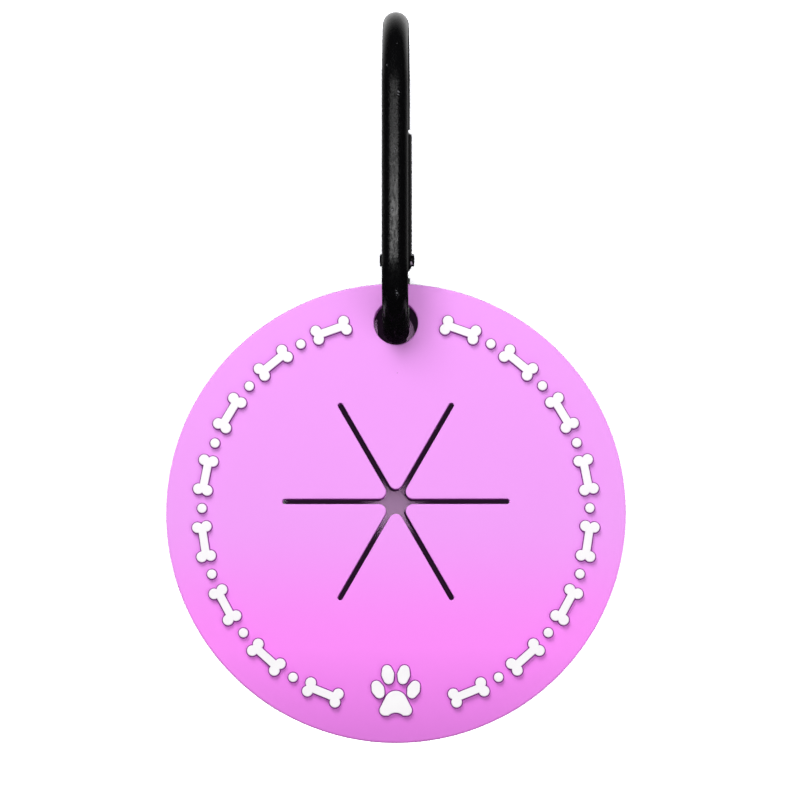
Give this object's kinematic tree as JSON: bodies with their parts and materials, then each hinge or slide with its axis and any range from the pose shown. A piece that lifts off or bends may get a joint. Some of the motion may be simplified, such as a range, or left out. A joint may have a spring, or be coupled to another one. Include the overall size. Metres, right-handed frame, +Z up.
{
  "type": "dog poop bag holder",
  "caption": "Round silicone bag holder for dog walks: a slit star grips the neck of a tied bag, and a sprung carabiner through a hole near the rim hangs it from a lead.",
  "frame": {"origin": "middle of the inside of the carabiner's crown, where a lead or a belt loop carries it", "axes": "+Z up along the carabiner, away from the disc; the disc's decorated face looks along -Y; the carabiner lies in the YZ plane with its gate toward +Y"},
  "size_m": [0.07, 0.0243, 0.1119],
  "materials": {
    "pink_silicone": "satin moulded silicone",
    "white_silicone": "satin moulded silicone",
    "black_metal": "gloss black over aluminium",
    "steel": "bright drawn steel"
  },
  "bodies": {
    "clip": {"carabiner_bar": "black_metal"},
    "gate": {"carabiner_gate": "black_metal", "gate_rivet": "steel", "gate_spring": "steel"},
    "plunger": {"gate_plunger": "steel"},
    "disc": {"holder_disc": "pink_silicone", "paw_heel": "white_silicone", "paw_toe_1": "white_silicone", "paw_toe_2": "white_silicone", "paw_toe_3": "white_silicone", "paw_toe_4": "white_silicone", "bone_1": "white_silicone", "bone_2": "white_silicone", "bone_3": "white_silicone", "bone_4": "white_silicone", "bone_5": "white_silicone", "bone_6": "white_silicone", "bone_7": "white_silicone", "bone_8": "white_silicone", "bone_9": "white_silicone", "bone_10": "white_silicone", "bone_11": "white_silicone", "bone_12": "white_silicone", "bone_13": "white_silicone", "bone_14": "white_silicone", "bone_15": "white_silicone", "bone_16": "white_silicone", "dots": "white_silicone"},
    "petal_1": {"petal_1": "pink_silicone"},
    "petal_2": {"petal_2": "pink_silicone"},
    "petal_3": {"petal_3": "pink_silicone"},
    "petal_4": {"petal_4": "pink_silicone"},
    "petal_5": {"petal_5": "pink_silicone"},
    "petal_6": {"petal_6": "pink_silicone"}
  },
  "joints": [
    {"name": "disc_swing", "type": "hinge", "parent": "clip", "child": "disc", "pos_m": [0, 0, -0.0439], "axis": [0, 1, 0], "range_deg": [-70, 70]},
    {"name": "gate_hinge", "type": "hinge", "parent": "clip", "child": "gate", "pos_m": [0, 0.01, -0.0332], "axis": [1, 0, 0], "range_deg": [0, 40], "stiffness_Nm_per_rad": 0.02, "springref_deg": -5.73},
    {"name": "plunger_slide", "type": "slide", "parent": "gate", "child": "plunger", "axis": [0, 0, 1], "range_m": [0, 0.00025], "deforming": ["gate_spring"]},
    {"name": "petal_1_fold", "type": "hinge", "parent": "disc", "child": "petal_1", "pos_m": [0, 0, -0.05656], "axis": [1, 0, 0], "range_deg": [-45, 45], "stiffness_Nm_per_rad": 0.004},
    {"name": "petal_2_fold", "type": "hinge", "parent": "disc", "child": "petal_2", "pos_m": [-0.01268, 0, -0.06388], "axis": [0.5, 0, 0.866], "range_deg": [-45, 45], "stiffness_Nm_per_rad": 0.004},
    {"name": "petal_3_fold", "type": "hinge", "parent": "disc", "child": "petal_3", "pos_m": [-0.01268, 0, -0.07852], "axis": [-0.5, 0, 0.866], "range_deg": [-45, 45], "stiffness_Nm_per_rad": 0.004},
    {"name": "petal_4_fold", "type": "hinge", "parent": "disc", "child": "petal_4", "pos_m": [0, 0, -0.08584], "axis": [-1, 0, 0], "range_deg": [-45, 45], "stiffness_Nm_per_rad": 0.004},
    {"name": "petal_5_fold", "type": "hinge", "parent": "disc", "child": "petal_5", "pos_m": [0.01268, 0, -0.07852], "axis": [-0.5, 0, -0.866], "range_deg": [-45, 45], "stiffness_Nm_per_rad": 0.004},
    {"name": "petal_6_fold", "type": "hinge", "parent": "disc", "child": "petal_6", "pos_m": [0.01268, 0, -0.06388], "axis": [0.5, 0, -0.866], "range_deg": [-45, 45], "stiffness_Nm_per_rad": 0.004}
  ],
  "couplings": [
    {"joint": "plunger_slide", "follows": "gate_hinge", "m_per_rad": 0.00035}
  ]
}
